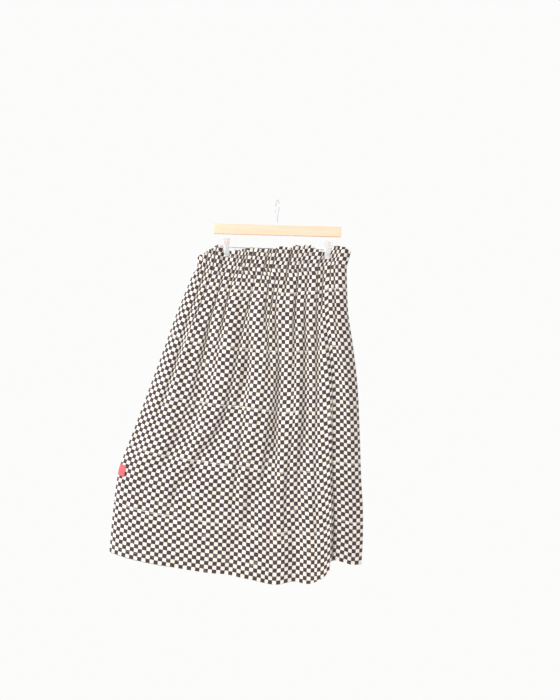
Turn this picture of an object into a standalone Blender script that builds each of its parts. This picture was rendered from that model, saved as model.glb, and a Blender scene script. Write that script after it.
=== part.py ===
# A gathered skirt with a frilled elastic waist, hung flat on a wooden clip hanger.
#
# Frame: +Z up, the wearer's front faces -Y, X runs along the hanger's bar, and the origin is
# where the hook rests on what holds it. Lengths are metres, and the tables are in millimetres.
# The cloth is cut as two rectangles. Each row of a panel runs from seam to seam: its sides
# follow the skirt's outline, its depth comes from the folds, and its gathers are as deep as it
# takes to make the row as long as the cloth is wide.

import math

import bmesh
import bpy
import numpy as np
from mathutils import Vector

MM = 0.001

# Cloth
PANEL_WIDTH = 850  # mm, the cut width of the front and of the back, from seam to seam
WALL = 1.5
HEM_WALL = 2.4  # where the hem is turned up
SEAM_GAP = 0.3
GATHERS = 34  # in the elastic, in each panel
POINTS_PER_GATHER = 4
PLEATS = 14  # the soft pleats that the gathers run out into, in each panel
GATHERS_GONE_AT = 0.16  # down the panel
PLEATS_FULL_AT = 0.14
SIDE_CURVE = 0.65  # 0.5 turns the sides as an ellipse, and 1 as a parabola
HEADING_SIDE_ROUND = 34  # how far from a seam the heading takes to turn the side
SAMPLES_PER_POINT = 6  # for measuring a row's length
DEEPEST_WAVE = 20  # more than any row needs

# Heading: the frill above the elastic and the casing round it
FRILL_WAVE = 1.6  # how far the top edge rises and falls with each gather
PINCH_DEPTH = 2.1  # from the middle to the wall's centre, between the jaws
PINCH_FLAT = 11.2  # half the width that is pressed flat
PINCH_END = 21.5
PINCH_GATHER = 0.09  # how much of a gather is left between the jaws
PINCH_LEVEL = 0.53  # how far down the heading the jaws press

# Side label
LABEL_COLUMNS = 2  # of the panel's columns that it covers, from the seam
LABEL_TOP, LABEL_BOTTOM = 0.700, 0.741  # down the panel
LABEL_LIFT = 0.35
LABEL_THICK = 0.9

# Hanger
BAR_LENGTH, BAR_THICK, BAR_HEIGHT = 383, 12, 31
BAR_MIDDLE_X = 1
BAR_TOP_Z = -74
BAR_EDGE = 1.6
HOOK_WIRE = 3.4
HOOK_INSIDE = 40  # across the round of the hook
HOOK_START, HOOK_END = 228, -38  # degrees round, from the neck to the tip
HOOK_TWIST = math.radians(15)
HOOK_SHANK_UP = 6  # straight above the bar
HOOK_SHANK_IN = 20
HOOK_NECK_PULLS = (13, 11)  # how far the neck keeps the shank's and the round's directions
ROD_WIRE = 3.2
ROD_SPAN = 330
ROD_DROP = 39  # from the bar's underside to the middle of the rod
ROD_BEND = 8
ROD_LEG_IN = 12
CLEARANCE = 0.3
HOLE_SIDES = 16
HOLE_FLATS = 0.2  # what a hole's flat sides take off its width

# Clips
CLIP_X = {"left": -148.5, "right": 153.5}
CLIP_WIDTH = 17
PLATE_THICK = 1.2
SPRING_OUTSIDE = 6.6
SPRING_LENGTH = 11
SPRING_SIDES = 20


def table(names, *rows):
    """A table with named columns: each name gives its column as an array."""
    return dict(zip(names.split(), np.array(rows, float).T))


# The skirt below the casing, level by level. Down runs from the casing's lower stitches, 0, to
# the hem, 1. The depths are from the skirt's middle plane to the front and to the back. Round
# is how far from a seam the cloth takes to turn the side. Inside is what the deep fold leaves
# of the front's depth on its right.
SECTIONS = table(
    "down   left  right  front  back  round  inside",
    (0.00, -250, 212, 11.5, 11.5, 34, 1.00),
    (0.07, -272, 215, 20.0, 20.0, 42, 1.00),
    (0.15, -297, 220, 28.0, 27.0, 52, 1.00),
    (0.27, -330, 238, 33.0, 31.0, 64, 1.00),
    (0.40, -367, 254, 35.0, 33.0, 76, 0.92),
    (0.55, -410, 264, 35.0, 34.0, 86, 0.62),
    (0.72, -457, 273, 36.0, 34.0, 94, 0.22),
    (0.82, -467, 280, 36.0, 34.0, 98, 0.04),
    (0.92, -473, 282, 37.0, 35.0, 102, -0.10),
    (1.00, -477, 283, 38.0, 36.0, 104, -0.16),
)

# Heights across the skirt, from the left seam, 0, to the right seam, 1.
EDGES = table(
    "across  casing  hem_front  hem_back",
    (0.00, -230, -1066, -1066),
    (0.09, -228, -1080, -1082),
    (0.19, -216, -1094, -1098),
    (0.28, -208, -1103, -1109),
    (0.38, -204, -1113, -1120),
    (0.47, -203, -1119, -1129),
    (0.57, -202, -1129, -1136),
    (0.66, -200, -1140, -1132),
    (0.73, -199, -1136, -1122),
    (0.80, -197, -1138, -1106),
    (0.85, -196, -1118, -1092),
    (0.88, -195, -1103, -1084),
    (0.92, -194, -1100, -1076),
    (0.96, -193, -1106, -1072),
    (1.00, -193, -1094, -1072),
)
DEEP_FOLD_RISE = 22  # how much higher the hem is on the right of the deep fold

# The frill's top edge. It stands up beside each clip and is pressed down between the jaws.
FRILL = table(
    "across  front  back",
    (0.00, -191, -191),
    (0.045, -165, -167),
    (0.09, -150, -152),
    (0.145, -138, -143),
    (0.167, -150, -150),
    (0.19, -154, -154),
    (0.215, -155, -155),
    (0.25, -153, -152),
    (0.317, -149, -146),
    (0.47, -145, -143),
    (0.59, -139, -142),
    (0.707, -134, -138),
    (0.745, -137, -140),
    (0.785, -148, -147),
    (0.824, -151, -151),
    (0.85, -152, -152),
    (0.868, -150, -150),
    (0.887, -136, -140),
    (0.92, -132, -136),
    (0.965, -137, -138),
    (1.00, -146, -146),
)
FRILL_LEFT, FRILL_RIGHT = -237, 224

# The troughs between the skirt's main folds. Each row gives where one lies across the skirt at
# five levels, how deep it is there, and half its width.
TROUGH_LEVELS = (0.10, 0.40, 0.60, 0.80, 1.00)
TROUGH_COLUMNS = "at_1 at_2 at_3 at_4 at_5  deep_1 deep_2 deep_3 deep_4 deep_5  half_width"
FRONT_TROUGHS = table(
    TROUGH_COLUMNS,
    (0.185, 0.250, 0.212, 0.080, 0.030, 4, 15, 13, 3, 0, 26),
    (0.400, 0.445, 0.362, 0.240, 0.160, 6, 17, 15, 4, 0, 27),
    (0.562, 0.632, 0.618, 0.540, 0.470, 5, 13, 15, 12, 7, 24),
    (0.700, 0.757, 0.742, 0.733, 0.735, 5, 10, 14, 14, 13, 25),
    (0.860, 0.893, 0.893, 0.893, 0.893, 5, 9, 6, 3, 0, 16),
)
BACK_TROUGHS = table(
    TROUGH_COLUMNS,
    (0.160, 0.180, 0.190, 0.205, 0.215, 5, 11, 13, 12, 10, 27),
    (0.330, 0.345, 0.330, 0.300, 0.285, 6, 15, 14, 8, 3, 26),
    (0.500, 0.520, 0.535, 0.540, 0.545, 5, 12, 15, 16, 15, 28),
    (0.655, 0.690, 0.705, 0.700, 0.690, 6, 14, 12, 7, 4, 25),
    (0.840, 0.850, 0.860, 0.872, 0.880, 5, 12, 14, 13, 11, 26),
)
DEEP_FOLD_AT = 0.876
DEEP_FOLD_HALF = 4.5  # mm across, over which the cloth turns in
DEEP_FOLD_CROWD = 0.72  # how closely the mesh's columns crowd there
DEEP_FOLD_REACH = 0.055

# Levels of the mesh down each panel. A gather has all of its points at the fine levels, and
# every second one at the coarse levels.
FINE_LEVELS = (0.0, 0.03, 0.07)
COARSE_LEVELS = (0.12, 0.21, 0.30, 0.40, 0.50, 0.60, LABEL_TOP, LABEL_BOTTOM, 0.83, 0.92, 0.972, 1.0)
HEADING_LEVELS = (0.0, PINCH_LEVEL, 0.78, 1.0)
HEM_TURNED_FROM = 0.972

COLUMNS = GATHERS * POINTS_PER_GATHER
SHARP_FROM = math.radians(40)

# Colours and finishes: red, green, blue, roughness, metallic
FINISHES = {
    "checked cotton": (0.42, 0.38, 0.34, 0.85, 0.0),
    "checked cotton back": (0.38, 0.34, 0.31, 0.85, 0.0),
    "gathered cotton": (0.46, 0.42, 0.37, 0.85, 0.0),
    "red woven tape": (0.72, 0.10, 0.08, 0.70, 0.0),
    "pale wood": (0.83, 0.66, 0.42, 0.50, 0.0),
    "bright wire": (0.75, 0.75, 0.76, 0.25, 1.0),
    "clip metal": (0.70, 0.69, 0.70, 0.30, 1.0),
}


def smooth_line(places, values, at):
    """A smooth curve through a few values: a cubic between each two, with shared slopes."""
    slopes = np.gradient(values, places)
    i = np.clip(np.searchsorted(places, at, side="right") - 1, 0, len(places) - 2)
    step = places[i + 1] - places[i]
    t = np.clip((at - places[i]) / step, 0, 1)
    rise = values[i + 1] - values[i]
    curve = slopes[i] * step * t * (1 - t) ** 2 - slopes[i + 1] * step * t**2 * (1 - t)
    return values[i] + rise * t**2 * (3 - 2 * t) + curve


def read(columns, name, at):
    """One column of a table, read at places along the table's first column."""
    return smooth_line(next(iter(columns.values())), columns[name], at)


def ease(t):
    """A soft step from 0 to 1 as t goes from 0 to 1."""
    t = np.clip(t, 0, 1)
    return t * t * (3 - 2 * t)


def turn_of_side(across, width, side_round):
    """How much of its depth the cloth has this far from the nearer seam."""
    from_seam = np.minimum(across, 1 - across) * width / side_round
    return (1 - (1 - np.clip(from_seam, 0, 1)) ** 2) ** SIDE_CURVE


def uneven(place):
    """Spreads even places across a row a little unevenly, as cloth gathers on elastic."""
    return place + 0.0034 * np.sin(8 * math.pi * place) + 0.0020 * np.sin(18 * math.pi * place)


def crowd_at_fold(across, down):
    """Draws the front's columns towards the deep fold, more so lower down."""
    off = across - DEEP_FOLD_AT
    strength = DEEP_FOLD_CROWD * ease((down - 0.12) / 0.4)
    return across - strength * off * np.exp(-((off / DEEP_FOLD_REACH) ** 2))


def troughs_of(troughs, across, down, width):
    """The depth of all the troughs together, each a bell across the skirt."""
    levels = np.array(TROUGH_LEVELS)
    total = np.zeros_like(across)
    for i, half_width in enumerate(troughs["half_width"]):
        at = np.array([troughs[f"at_{n}"][i] for n in range(1, 6)])
        deep = np.array([troughs[f"deep_{n}"][i] for n in range(1, 6)])
        off = (across - smooth_line(levels, at, down)) * width / half_width
        total += smooth_line(levels, deep, down) * ease(down / levels[0]) * np.exp(-(off**2))
    return total


def gather_wave(place):
    """The gathers, one after another across a row, some deeper than others."""
    phase = 2 * math.pi * (GATHERS * place + 1 / (2 * POINTS_PER_GATHER))
    return np.cos(phase) * (1 + 0.16 * np.sin(14.6 * math.pi * place + 1.0))


def pleat_wave(place, down):
    """The soft pleats below the gathers, which drift a little on their way down."""
    drift = 0.30 * np.sin(2 * math.pi * (1.3 * place + 0.8 * down))
    return np.cos(2 * math.pi * (PLEATS * place + drift)) * (1 + 0.3 * np.sin(5.2 * math.pi * place))


def row_length(points):
    return np.linalg.norm(np.diff(points, axis=1), axis=2).sum(axis=1)


def deepened(points, wave, limit):
    """Adds the wave to the depth of each row, as deep as makes the row as long as the cloth."""
    low = np.zeros(len(points))
    high = np.full(len(points), limit)
    for _ in range(24):
        middle = (low + high) / 2
        trial = points.copy()
        trial[:, :, 1] += middle[:, None] * wave
        short = row_length(trial) < PANEL_WIDTH
        low = np.where(short, middle, low)
        high = np.where(short, high, middle)
    return low


def panel_places(levels, side):
    """The points of a panel without its gathers, and the gathers' wave, on a fine grid."""
    place, down = np.meshgrid(np.linspace(0, 1, COLUMNS * SAMPLES_PER_POINT + 1), levels)
    across = uneven(place)
    if side == "front":
        across = crowd_at_fold(across, down)
    left = read(SECTIONS, "left", down)
    width = read(SECTIONS, "right", down) - left
    soft_side = turn_of_side(across, width, read(SECTIONS, "round", down))
    depth = read(SECTIONS, side, down) * soft_side
    hem = read(EDGES, "hem_" + side, across)
    if side == "front":
        turned_in = ease((across - DEEP_FOLD_AT) * width / (2 * DEEP_FOLD_HALF) + 0.5)
        kept = read(SECTIONS, "inside", down)
        depth = depth * (1 - turned_in * (1 - kept))
        hem = hem + turned_in * DEEP_FOLD_RISE * np.clip(1 - kept, 0, 1)
    troughs = FRONT_TROUGHS if side == "front" else BACK_TROUGHS
    depth = depth - troughs_of(troughs, across, down, width) * soft_side
    height = (1 - down) * read(EDGES, "casing", across) + down * hem
    outwards = -1 if side == "front" else 1
    points = np.stack([left + across * width, outwards * depth, height], axis=2)
    gathered = 1 - ease(down / GATHERS_GONE_AT)
    pleated = ease(down / PLEATS_FULL_AT)
    wave = soft_side * (gathered * gather_wave(place) + pleated * pleat_wave(place, down))
    return points, wave


def heading_places(levels, side):
    """The same for the heading, where the levels run from the frill's edge to the lower stitches."""
    place, down = np.meshgrid(np.linspace(0, 1, COLUMNS * SAMPLES_PER_POINT + 1), levels)
    across = uneven(place)
    left = (1 - down) * FRILL_LEFT + down * SECTIONS["left"][0]
    right = (1 - down) * FRILL_RIGHT + down * SECTIONS["right"][0]
    width = right - left
    x = left + across * width
    pinch = np.zeros_like(x)
    for clip_x in CLIP_X.values():
        pinch += ease((PINCH_END - np.abs(x - clip_x)) / (PINCH_END - PINCH_FLAT))
    pinch *= 1 - ease((down - PINCH_LEVEL) / (1 - PINCH_LEVEL))
    soft_side = turn_of_side(across, width, HEADING_SIDE_ROUND)
    depth = SECTIONS[side][0] * soft_side * (1 - pinch) + PINCH_DEPTH * pinch
    wave = soft_side * gather_wave(place) * (1 - (1 - PINCH_GATHER) * pinch)
    edge = read(FRILL, side, across) + FRILL_WAVE * gather_wave(place) * (1 - pinch)
    height = (1 - down) * edge + down * read(EDGES, "casing", across)
    outwards = -1 if side == "front" else 1
    return np.stack([x, outwards * depth, height], axis=2), wave


def wall_points(places, levels, side, thickness):
    """The outer and the inner points of a wall on the mesh's columns, in metres."""
    points, wave = places(levels, side)
    points[:, :, 1] += deepened(points, wave, DEEPEST_WAVE)[:, None] * wave
    middle = points[:, ::SAMPLES_PER_POINT]
    across = np.gradient(middle, axis=1)
    down = np.gradient(middle, axis=0)
    outwards = -1 if side == "front" else 1
    normal = np.cross(across, down) * outwards
    normal *= np.sign(normal[:, COLUMNS // 2, 1] * outwards)[:, None, None]
    # At the seams the wall faces straight sideways, so that the two panels meet face to face.
    normal[:, 0] = (-1, 0, 0)
    normal[:, -1] = (1, 0, 0)
    # Top and bottom edges are level, so that the heading and the panel meet edge to edge.
    normal[[0, -1], :, 2] = 0
    normal /= np.linalg.norm(normal, axis=2)[:, :, None]
    middle[:, [0, -1], 1] = outwards * SEAM_GAP / 2
    half = np.asarray(thickness, float).reshape(-1, 1, 1) / 2
    return (middle + normal * half) * MM, (middle - normal * half) * MM, normal


def finish(name, kind):
    red, green, blue, roughness, metallic = FINISHES[kind]
    material = bpy.data.materials.new(name + " finish")
    material.use_nodes = True
    shader = material.node_tree.nodes["Principled BSDF"]
    shader.inputs["Base Color"].default_value = (red, green, blue, 1)
    shader.inputs["Roughness"].default_value = roughness
    shader.inputs["Metallic"].default_value = metallic
    return material


def add_object(name, data, kind):
    piece = bpy.data.objects.new(name, data)
    bpy.context.scene.collection.objects.link(piece)
    data.materials.append(finish(name, kind))
    return piece


def mesh_object(name, points, faces, kind):
    """A mesh with its faces turned outwards."""
    mesh = bpy.data.meshes.new(name)
    mesh.from_pydata([tuple(p) for p in points], [], faces)
    shape = bmesh.new()
    shape.from_mesh(mesh)
    bmesh.ops.recalc_face_normals(shape, faces=shape.faces)
    shape.to_mesh(mesh)
    shape.free()
    mesh.shade_smooth()
    mesh.set_sharp_from_angle(angle=SHARP_FROM)
    add_object(name, mesh, kind)


def between_rows(upper, lower):
    """Triangles between two rows of point numbers, the lower with as many steps or half as many."""
    faces = []
    if len(upper) == len(lower):
        for i in range(len(upper) - 1):
            faces.append((upper[i], lower[i], upper[i + 1]))
            faces.append((upper[i + 1], lower[i], lower[i + 1]))
        return faces
    for i in range(len(lower) - 1):
        faces.append((upper[2 * i], lower[i], upper[2 * i + 1]))
        faces.append((upper[2 * i + 1], lower[i], lower[i + 1]))
        faces.append((upper[2 * i + 1], lower[i + 1], upper[2 * i + 2]))
    return faces


def closed_wall(name, outer_rows, inner_rows, kind):
    """A closed wall from its outer and inner rows: both faces, both ends, top and bottom edges."""
    points = []
    numbered = []
    for rows in (outer_rows, inner_rows):
        numbers = []
        for row in rows:
            numbers.append(list(range(len(points), len(points) + len(row))))
            points.extend(row)
        numbered.append(numbers)
    outer, inner = numbered
    faces = []
    for i in range(len(outer) - 1):
        faces += between_rows(outer[i], outer[i + 1])
        faces += [face[::-1] for face in between_rows(inner[i], inner[i + 1])]
    faces += [face[::-1] for face in between_rows(outer[0], inner[0])]
    faces += between_rows(outer[-1], inner[-1])
    for end in (0, -1):
        faces += between_rows([row[end] for row in outer], [row[end] for row in inner])
    mesh_object(name, points, faces, kind)


def make_panel(side, name, kind):
    levels = np.array(FINE_LEVELS + COARSE_LEVELS)
    thickness = np.where(levels > HEM_TURNED_FROM, HEM_WALL, WALL)
    outer, inner, normal = wall_points(panel_places, levels, side, thickness)
    thinned = [slice(None)] * len(FINE_LEVELS) + [slice(None, None, 2)] * len(COARSE_LEVELS)
    outer_rows = [row[keep] for row, keep in zip(outer, thinned)]
    inner_rows = [row[keep] for row, keep in zip(inner, thinned)]
    closed_wall(name, outer_rows, inner_rows, kind)
    return levels, outer_rows, [row[keep] for row, keep in zip(normal, thinned)]


def make_heading(side, name):
    levels = np.array(HEADING_LEVELS)
    outer, inner, _ = wall_points(heading_places, levels, side, np.full(len(levels), WALL))
    # The lower stitches part the casing from the panel.
    for rows in (outer, inner):
        rows[-1, :, 2] += SEAM_GAP * MM
    closed_wall(name, outer, inner, "gathered cotton")


def make_label(levels, outer_rows, normals):
    """The tab lies on the front beside the left seam: the panel's own points, moved out."""
    top = int(np.flatnonzero(levels == LABEL_TOP)[0])
    bottom = int(np.flatnonzero(levels == LABEL_BOTTOM)[0])
    under, over = [], []
    for row in range(top, bottom + 1):
        points = outer_rows[row][: LABEL_COLUMNS + 1]
        out = normals[row][: LABEL_COLUMNS + 1]
        under.append(points + out * LABEL_LIFT * MM)
        over.append(points + out * (LABEL_LIFT + LABEL_THICK) * MM)
    closed_wall("side_label", over, under, "red woven tape")


def wire(name, points, thickness, kind):
    """A round wire through the points, with flat ends."""
    curve = bpy.data.curves.new(name, "CURVE")
    curve.dimensions = "3D"
    curve.bevel_depth = thickness / 2 * MM
    curve.bevel_resolution = 2
    curve.use_fill_caps = True
    spline = curve.splines.new("POLY")
    spline.points.add(len(points) - 1)
    for target, point in zip(spline.points, points):
        target.co = (*(Vector(point) * MM), 1)
    add_object(name, curve, kind)


def arc(centre, radius, start, end, steps):
    """Points of an arc in the plane of two axes, from one angle to another, in degrees."""
    angles = np.radians(np.linspace(start, end, steps + 1))
    return [(centre[0] + radius * math.cos(a), centre[1] + radius * math.sin(a)) for a in angles]


def make_hook():
    """Up out of the bar, forward, over and down behind, turned a little about its shank."""
    radius = (HOOK_INSIDE + HOOK_WIRE) / 2
    centre = (0, HOOK_WIRE / 2 - radius)
    round_part = arc(centre, radius, HOOK_START, HOOK_END, 26)
    start = Vector((0, BAR_TOP_Z + HOOK_SHANK_UP))
    join = Vector(round_part[0])
    turn = math.radians(HOOK_START)
    start_pull = start + Vector((0, HOOK_NECK_PULLS[0]))
    join_pull = join + Vector((-math.sin(turn), math.cos(turn))) * HOOK_NECK_PULLS[1]
    neck = []
    for t in np.linspace(0, 1, 9)[:-1]:
        a, b = start.lerp(start_pull, t), start_pull.lerp(join_pull, t)
        c = join_pull.lerp(join, t)
        neck.append(tuple(a.lerp(b, t).lerp(b.lerp(c, t), t)))
    profile = [(0, BAR_TOP_Z - HOOK_SHANK_IN)] + neck + round_part
    lean = math.sin(HOOK_TWIST)
    forward = math.cos(HOOK_TWIST)
    points = [(-y * lean, y * forward, z) for y, z in profile]
    wire("hanger_hook", points, HOOK_WIRE, "bright wire")


def make_rod():
    """Down out of the bar, along under it and up again, with a bend at each corner."""
    half = ROD_SPAN / 2
    low = BAR_TOP_Z - BAR_HEIGHT - ROD_DROP
    top = BAR_TOP_Z - BAR_HEIGHT + ROD_LEG_IN
    left_bend = arc((-half + ROD_BEND, low + ROD_BEND), ROD_BEND, 180, 270, 6)
    right_bend = arc((half - ROD_BEND, low + ROD_BEND), ROD_BEND, 270, 360, 6)
    profile = [(-half, top)] + left_bend + right_bend + [(half, top)]
    points = [(BAR_MIDDLE_X + x, 0, z) for x, z in profile]
    wire("hanger_rod", points, ROD_WIRE, "bright wire")


def drill(target, x, bottom, depth, across):
    """Cuts a round upright hole with a cutter that the render leaves out."""
    shape = bmesh.new()
    bmesh.ops.create_cone(
        shape, cap_ends=True, segments=HOLE_SIDES, radius1=across / 2, radius2=across / 2, depth=depth
    )
    mesh = bpy.data.meshes.new("hole cutter")
    shape.to_mesh(mesh)
    shape.free()
    cutter = bpy.data.objects.new("hole cutter", mesh)
    bpy.context.scene.collection.objects.link(cutter)
    cutter.scale = (MM, MM, MM)
    cutter.location = (x * MM, 0, (bottom + depth / 2) * MM)
    cutter.display_type = "WIRE"
    cutter.hide_render = True
    cut = target.modifiers.new("hole", "BOOLEAN")
    cut.operation = "DIFFERENCE"
    cut.solver = "EXACT"
    cut.object = cutter


def make_bar():
    """A flat stick of wood with softened edges, drilled for the hook and for the rod's legs."""
    shape = bmesh.new()
    bmesh.ops.create_cube(shape, size=MM)
    bmesh.ops.scale(shape, vec=(BAR_LENGTH, BAR_THICK, BAR_HEIGHT), verts=shape.verts)
    mesh = bpy.data.meshes.new("hanger_bar")
    shape.to_mesh(mesh)
    shape.free()
    bar = add_object("hanger_bar", mesh, "pale wood")
    bar.location = Vector((BAR_MIDDLE_X, 0, BAR_TOP_Z - BAR_HEIGHT / 2)) * MM
    edge = bar.modifiers.new("softened edges", "BEVEL")
    edge.width = BAR_EDGE * MM
    edge.segments = 2
    past = 5  # how far the cutters stick out of the bar
    fit = 2 * CLEARANCE + HOLE_FLATS
    hook_hole = HOOK_SHANK_IN + CLEARANCE
    drill(bar, 0, BAR_TOP_Z - hook_hole, hook_hole + past, HOOK_WIRE + fit)
    underside = BAR_TOP_Z - BAR_HEIGHT
    for side in (-1, 1):
        leg_x = BAR_MIDDLE_X + side * ROD_SPAN / 2
        drill(bar, leg_x, underside - past, ROD_LEG_IN + CLEARANCE + past, ROD_WIRE + fit)


# A clip's front plate from the side: how far its inner face stands off the middle, and where.
PLATE = table(
    "height  inner",
    (-118.0, 7.6),
    (-127.0, 6.4),
    (-138.0, 3.9),
    (-144.0, 3.6),
    (-150.0, 4.2),
    (-158.0, 5.4),
    (-166.0, 4.3),
    (-172.0, 4.3),
)


def make_clip(side, clip_x):
    """Two sprung plates on a coil round the rod, which bite the gathered casing."""
    half_width = CLIP_WIDTH / 2
    count = len(PLATE["height"])
    for face, outwards in (("front", -1), ("back", 1)):
        inner = [(outwards * y, z) for y, z in zip(PLATE["inner"], PLATE["height"])]
        outer = [(outwards * (y + PLATE_THICK), z) for y, z in zip(PLATE["inner"], PLATE["height"])]
        rows = []
        for x in (clip_x - half_width, clip_x + half_width):
            rows.append([Vector((x, y, z)) * MM for y, z in outer])
            rows.append([Vector((x, y, z)) * MM for y, z in inner])
        points = [point for row in rows for point in row]
        faces = []
        for a, b in ((0, 1), (1, 3), (3, 2), (2, 0)):
            for i in range(count - 1):
                faces.append((a * count + i, b * count + i, b * count + i + 1, a * count + i + 1))
        for i in (0, count - 1):
            faces.append((i, count + i, 3 * count + i, 2 * count + i))
        mesh_object(f"clip_{side}_{face}", points, faces, "clip metal")
    make_spring(side, clip_x)


def make_spring(side, clip_x):
    """The coil's outer shape: a sleeve round the rod."""
    rod_z = BAR_TOP_Z - BAR_HEIGHT - ROD_DROP
    inside = ROD_WIRE / 2 + CLEARANCE
    points = []
    for x in (clip_x - SPRING_LENGTH / 2, clip_x + SPRING_LENGTH / 2):
        for radius in (SPRING_OUTSIDE / 2, inside):
            for i in range(SPRING_SIDES):
                turn = 2 * math.pi * i / SPRING_SIDES
                points.append(Vector((x, radius * math.cos(turn), rod_z + radius * math.sin(turn))) * MM)
    faces = []
    for a, b in ((0, 1), (1, 3), (3, 2), (2, 0)):
        for i in range(SPRING_SIDES):
            j = (i + 1) % SPRING_SIDES
            corners = (a * SPRING_SIDES + i, b * SPRING_SIDES + i)
            faces.append(corners + (b * SPRING_SIDES + j, a * SPRING_SIDES + j))
    mesh_object(f"clip_{side}_spring", points, faces, "clip metal")


def clear_scene():
    for old in list(bpy.data.objects):
        bpy.data.objects.remove(old)


clear_scene()
front_levels, front_outer, front_normals = make_panel("front", "front_panel", "checked cotton")
make_panel("back", "back_panel", "checked cotton back")
make_heading("front", "heading_front")
make_heading("back", "heading_back")
make_label(front_levels, front_outer, front_normals)
make_bar()
make_hook()
make_rod()
for clip_side, clip_place in CLIP_X.items():
    make_clip(clip_side, clip_place)
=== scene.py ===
import math

import bpy
import numpy as np
from mathutils import Matrix, Vector


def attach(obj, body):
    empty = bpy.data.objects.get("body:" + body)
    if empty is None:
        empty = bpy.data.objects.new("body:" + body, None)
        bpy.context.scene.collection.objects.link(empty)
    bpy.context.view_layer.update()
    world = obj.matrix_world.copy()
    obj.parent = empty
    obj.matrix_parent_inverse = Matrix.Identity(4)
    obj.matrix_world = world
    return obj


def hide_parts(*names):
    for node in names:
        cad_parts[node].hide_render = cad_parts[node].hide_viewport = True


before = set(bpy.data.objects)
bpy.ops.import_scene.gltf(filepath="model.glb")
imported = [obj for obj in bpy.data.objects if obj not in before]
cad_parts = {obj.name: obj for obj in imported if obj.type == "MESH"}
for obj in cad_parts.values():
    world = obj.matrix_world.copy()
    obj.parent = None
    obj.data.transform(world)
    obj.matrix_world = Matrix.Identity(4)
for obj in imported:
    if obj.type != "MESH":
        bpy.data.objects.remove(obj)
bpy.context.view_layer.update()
print("frame loaded with", len(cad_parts), "nodes")

mm = 0.001  # shapes are worked out in millimetres, and go into their meshes in metres


# A small table: every name in the first line gives its column as an array.
def columnsOf(names, *rows):
    return dict(zip(names.split(), np.array(rows, float).T))


# A smooth curve through a few values: a cubic between each two, which share their slope.
def smoothLine(places, values, at):
    places = np.asarray(places, float)
    values = np.asarray(values, float)
    slopes = np.gradient(values, places)
    i = np.clip(np.searchsorted(places, at, side="right") - 1, 0, len(places) - 2)
    step = places[i + 1] - places[i]
    t = np.clip((at - places[i]) / step, 0, 1)
    rise = values[i + 1] - values[i]
    bend = slopes[i] * step * t * (1 - t) ** 2 - slopes[i + 1] * step * t**2 * (1 - t)
    return values[i] + rise * t**2 * (3 - 2 * t) + bend


# One column of a table, read along its first column.
def readTable(columns, name, at):
    return smoothLine(next(iter(columns.values())), columns[name], at)


# A soft step between two places: 3t^2 - 2t^3 as t goes from 0 at the first to 1 at the second.
def softStep(at, start=0, end=1):
    t = np.clip((at - start) / (end - start), 0, 1)
    return t * t * (3 - 2 * t)


# Smooth noise from -1 to 1: random values on a lattice, blended by soft steps between its points.
def smoothNoise(x, y, seed):
    lattice = np.random.default_rng(seed).uniform(-1, 1, (64, 64))
    i, j = np.floor(x).astype(int), np.floor(y).astype(int)
    s, t = softStep(x - i), softStep(y - j)
    low = lattice[i % 64, j % 64] * (1 - s) + lattice[(i + 1) % 64, j % 64] * s
    high = lattice[i % 64, (j + 1) % 64] * (1 - s) + lattice[(i + 1) % 64, (j + 1) % 64] * s
    return low * (1 - t) + high * t


# Unevenness: smooth noise of a given size, so many times across and down, with its own seed.
def uneven(how, across, down, seed):
    amount, timesAcross, timesDown, ownSeed = how
    return amount * smoothNoise(across * timesAcross, down * timesDown, seed + ownSeed)


# Points between a grid's points: the four neighbours weighted by their nearness.
def readGrid(grid, rows, columns):
    i = np.clip(np.floor(rows).astype(int), 0, grid.shape[0] - 2)
    j = np.clip(np.floor(columns).astype(int), 0, grid.shape[1] - 2)
    s, t = (rows - i)[..., None], (columns - j)[..., None]
    upper = grid[i, j] * (1 - t) + grid[i, j + 1] * t
    lower = grid[i + 1, j] * (1 - t) + grid[i + 1, j + 1] * t
    return upper * (1 - s) + lower * s


# Vectors divided by their own lengths.
def unit(vectors):
    return vectors / np.linalg.norm(vectors, axis=-1, keepdims=True)


# How far along a line each of its points lies: the distances between neighbours, summed.
def runningLength(points):
    return np.concatenate([[0], np.cumsum(np.linalg.norm(np.diff(points, axis=0), axis=1))])


# Quads of a grid of point numbers, one for each four neighbours.
def gridFaces(numbers):
    corners = (numbers[:-1, :-1], numbers[1:, :-1], numbers[1:, 1:], numbers[:-1, 1:])
    return np.stack([c.ravel() for c in corners], axis=1)


# Faces of a stack of rings: quads between each two, and one face at either end.
def ringFaces(points):
    numbers = np.arange(points.size // 3).reshape(points.shape[:2])
    around = np.concatenate([numbers, numbers[:, :1]], axis=1)
    return [gridFaces(around), np.stack([numbers[0], numbers[-1][::-1]])]


# A closed mesh's volume by the divergence theorem: positive where its faces point outwards.
def meshVolume(mesh):
    mesh.calc_loop_triangles()
    corners = np.empty(len(mesh.vertices) * 3)
    mesh.vertices.foreach_get("co", corners)
    triangles = np.empty(len(mesh.loop_triangles) * 3, np.int32)
    mesh.loop_triangles.foreach_get("vertices", triangles)
    a, b, c = corners.reshape(-1, 3)[triangles.reshape(-1, 3)].transpose(1, 0, 2)
    return float(np.einsum("ij,ij->i", a, np.cross(b, c)).sum() / 6)


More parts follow.
